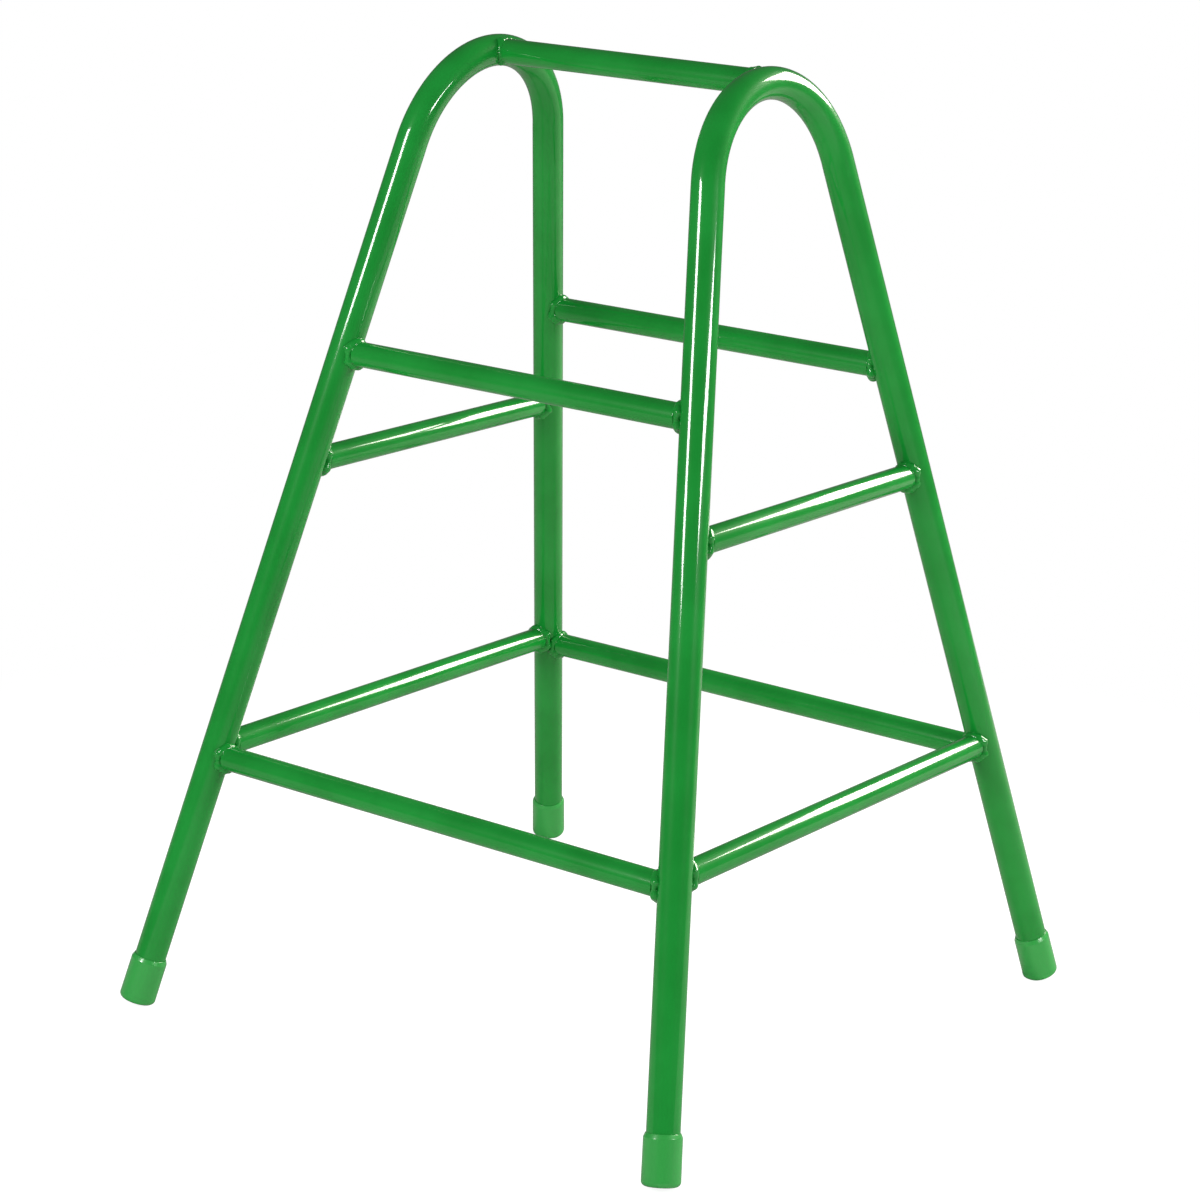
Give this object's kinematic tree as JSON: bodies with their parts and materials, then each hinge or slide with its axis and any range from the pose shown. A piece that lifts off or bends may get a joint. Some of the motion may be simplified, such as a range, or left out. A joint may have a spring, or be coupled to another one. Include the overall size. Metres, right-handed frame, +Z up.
{
  "type": "gym trestle",
  "caption": "Rigid welded tubular trestle: bent hoops joined by rails and rungs at stepped heights, standing on push-on ferrules, to carry benches and planks.",
  "frame": {"origin": "on the floor, under the middle of the trestle", "axes": "+Z up; +X along the top rail, from one hoop to the other; +Y across, from the front legs to the back legs"},
  "size_m": [0.6982, 0.7132, 0.9709],
  "materials": {
    "green_enamel": "gloss green stoved enamel over steel tube",
    "ferrule_plastic": "satin moulded green plastic"
  },
  "bodies": {
    "root": {"back_left_ferrule": "ferrule_plastic", "back_lower_rail": "green_enamel", "back_lower_rail_weld_left": "green_enamel", "back_lower_rail_weld_right": "green_enamel", "back_right_ferrule": "ferrule_plastic", "back_upper_rail": "green_enamel", "back_upper_rail_weld_left": "green_enamel", "back_upper_rail_weld_right": "green_enamel", "front_left_ferrule": "ferrule_plastic", "front_lower_rail": "green_enamel", "front_lower_rail_weld_left": "green_enamel", "front_lower_rail_weld_right": "green_enamel", "front_right_ferrule": "ferrule_plastic", "front_upper_rail": "green_enamel", "front_upper_rail_weld_left": "green_enamel", "front_upper_rail_weld_right": "green_enamel", "left_hoop": "green_enamel", "left_lower_rung": "green_enamel", "left_lower_rung_weld_back": "green_enamel", "left_lower_rung_weld_front": "green_enamel", "left_middle_rung": "green_enamel", "left_middle_rung_weld_back": "green_enamel", "left_middle_rung_weld_front": "green_enamel", "right_hoop": "green_enamel", "right_lower_rung": "green_enamel", "right_lower_rung_weld_back": "green_enamel", "right_lower_rung_weld_front": "green_enamel", "right_middle_rung": "green_enamel", "right_middle_rung_weld_back": "green_enamel", "right_middle_rung_weld_front": "green_enamel", "top_rail": "green_enamel", "top_rail_weld_left": "green_enamel", "top_rail_weld_right": "green_enamel"}
  },
  "joints": []
}
